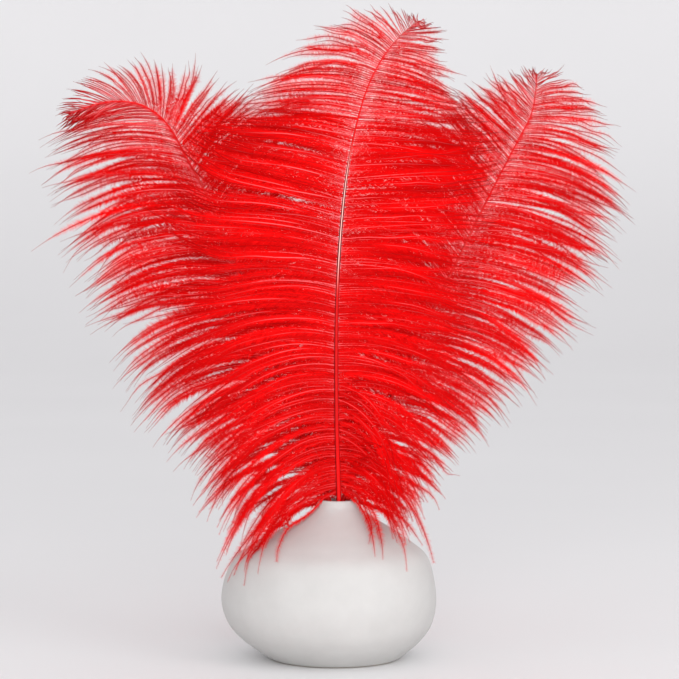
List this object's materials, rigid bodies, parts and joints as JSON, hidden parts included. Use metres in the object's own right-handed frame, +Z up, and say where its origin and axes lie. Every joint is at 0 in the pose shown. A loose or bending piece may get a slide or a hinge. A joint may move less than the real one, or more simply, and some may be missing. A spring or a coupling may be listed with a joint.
{
  "type": "ostrich feathers in a vase",
  "caption": "Dyed red ostrich plumes with long drooping barbs, standing in a round white matte stoneware vase with a narrow mouth, as a table decoration.",
  "frame": {"origin": "middle of the vase's flat foot, on the surface that it stands on", "axes": "+Z up the vase and the feathers, +X to the viewer's right, +Y away from the viewer"},
  "size_m": [0.4156, 0.1506, 0.4524],
  "materials": {
    "stoneware": "matte",
    "dyed_quill": "satin",
    "dyed_barbs": "matte"
  },
  "bodies": {
    "root": {"vase": "stoneware", "middle_feather_shaft": "dyed_quill", "middle_feather_left_vane": "dyed_barbs", "middle_feather_right_vane": "dyed_barbs", "left_feather_shaft": "dyed_quill", "left_feather_left_vane": "dyed_barbs", "left_feather_right_vane": "dyed_barbs", "right_feather_shaft": "dyed_quill", "right_feather_left_vane": "dyed_barbs", "right_feather_right_vane": "dyed_barbs"}
  },
  "joints": []
}
